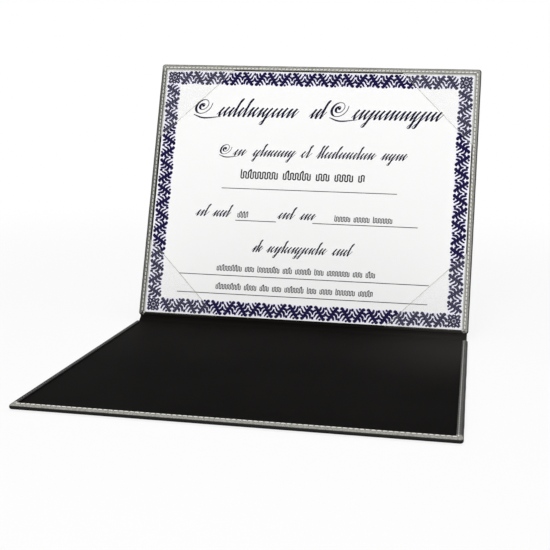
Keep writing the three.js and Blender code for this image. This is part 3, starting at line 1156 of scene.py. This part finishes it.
def camera():
    """A camera at the photograph's place that looks the same way, with its frame shifted so that its
    principal point falls where the photograph's does."""
    azimuth, pitch, roll = map(math.radians, (CAMERA_AZIMUTH, CAMERA_PITCH, CAMERA_ROLL))
    ahead = np.array([
        -math.sin(azimuth) * math.cos(pitch), math.cos(azimuth) * math.cos(pitch), -math.sin(pitch),
    ])
    level = np.cross(ahead, (0, 0, 1))
    level /= np.linalg.norm(level)
    upright = np.cross(level, ahead)
    right = level * math.cos(roll) + upright * math.sin(roll)
    up = upright * math.cos(roll) - level * math.sin(roll)
    lens = bpy.data.cameras.new("camera")
    lens.sensor_width = SENSOR
    lens.lens = FOCAL_PIXELS * SENSOR / PICTURE
    lens.shift_x = (PICTURE / 2 - CENTRE_PIXEL[0]) / PICTURE
    lens.shift_y = (CENTRE_PIXEL[1] - PICTURE / 2) / PICTURE
    eye = bpy.data.objects.new("camera", lens)
    bpy.context.scene.collection.objects.link(eye)
    turn = np.eye(4)
    turn[:3] = np.column_stack([right, up, -ahead, CAMERA_PLACE])
    eye.matrix_world = Matrix(turn.tolist())
    bpy.context.scene.camera = eye


def backdrop():
    """A world that lights the scene evenly, and is white where it is seen."""
    world = bpy.data.worlds.new("studio")
    bpy.context.scene.world = world
    world.use_nodes = True
    nodes = Nodes(world.node_tree)
    nodes.tree.nodes.clear()
    light = nodes.node("ShaderNodeBackground", {}, Color=WHITE, Strength=WORLD_LIGHT)
    white = nodes.node("ShaderNodeBackground", {}, Color=WHITE, Strength=1.0)
    mix = nodes.node(
        "ShaderNodeMixShader", {}, nodes.seen_directly(), light.outputs[0], white.outputs[0]
    )
    nodes.node("ShaderNodeOutputWorld", {}, Surface=mix.outputs[0])


def floor():
    """A pale floor that keeps the cover's soft shadow and fades to white further off."""
    low, high = -FLOOR_HALF, FLOOR_HALF
    corners = [(low, low, 0), (high, low, 0), (high, high, 0), (low, high, 0)]
    mesh = bpy.data.meshes.new("floor")
    mesh.from_pydata(corners, [], [(0, 1, 2, 3)])
    sheet = bpy.data.objects.new("floor", mesh)
    bpy.context.scene.collection.objects.link(sheet)
    finish = Finish("pale_floor", Base_Color=(0.9, 0.9, 0.9, 1), Roughness=0.9, Specular_IOR_Level=0.1)
    length = finish.node("ShaderNodeVectorMath", {"operation": "LENGTH"}, finish.place())
    whiteness = Number(finish, length.outputs["Value"]).ramp(*SHADOW_REACH, FLOOR_WHITENESS, 1.0)
    glow = finish.node("ShaderNodeEmission", {}, Color=WHITE, Strength=1.0)
    mix = finish.node(
        "ShaderNodeMixShader", {},
        finish.seen_directly() * whiteness, finish.shader.outputs[0], glow.outputs[0],
    )
    finish.put(finish.tree.nodes["Material Output"].inputs["Surface"], mix.outputs[0])
    mesh.materials.append(finish.material)


def lamp(name, place, target, size, power):
    """A square soft light that faces the target."""
    light = bpy.data.lights.new(name, "AREA")
    light.size = size
    light.energy = power
    lamp_object = bpy.data.objects.new(name, light)
    bpy.context.scene.collection.objects.link(lamp_object)
    aim = Vector(target) - Vector(place)
    lamp_object.rotation_euler = aim.to_track_quat("-Z", "Y").to_euler()
    lamp_object.location = place


def studio():
    """The camera, the white surroundings, the floor and the lamps."""
    camera()
    backdrop()
    floor()
    for name, settings in LAMPS.items():
        lamp(name, *settings)
    view = bpy.context.scene.view_settings
    view.view_transform = "Standard"


# The object

def build():
    """Every piece of the diploma cover, in its finish."""
    leatherette = leatherette_finish()
    lining = lining_finish()
    thread = thread_finish()
    film = film_finish("clear_film", (0.7, 0.73, 0.71), 0.025, 0.06)
    weld = film_finish("film_weld", (0.62, 0.62, 0.58), 0.72, 0.85)
    mouth = film_finish("film_mouth", (0.5, 0.49, 0.43), 0.2, 0.42)
    foam = plain_layer_finish("foam", (0.45, 0.42, 0.34), (0.6, 0.57, 0.48), 0.0015)
    greyboard = plain_layer_finish("greyboard", (0.16, 0.14, 0.12), (0.3, 0.27, 0.23), 0.0025)
    for cover in (lower_cover, upper_cover):
        leather_wrap(cover, leatherette)
        seam(cover, 1, thread)
        seam(cover, -1, thread)
        dress(f"{cover.name}_lining", lining)
        dress(f"{cover.name}_padding", foam)
        dress(f"{cover.name}_board", greyboard)
    spine(leatherette, lining)
    dress("certificate", paper_finish())
    for level in ("top", "bottom"):
        for x_side, hand in ((-1, "left"), (1, "right")):
            dress(f"corner_pocket_{level}_{hand}", film)
            pocket_trim(f"{level}_{hand}", x_side, level == "top", weld, mouth)
    navy = ink_finish("navy_ink", (0.006, 0.005, 0.022), (0.015, 0.013, 0.048))
    indigo = ink_finish("indigo_ink", (0.006, 0.004, 0.04), (0.014, 0.008, 0.08))
    grey = ink_finish("grey_ink", (0.015, 0.015, 0.016), (0.035, 0.035, 0.037))
    lilac = ink_finish("lilac_ground", (0.82, 0.8, 0.91), (0.87, 0.86, 0.93))
    certificate_print(navy, indigo, grey, lilac)


studio()
build()
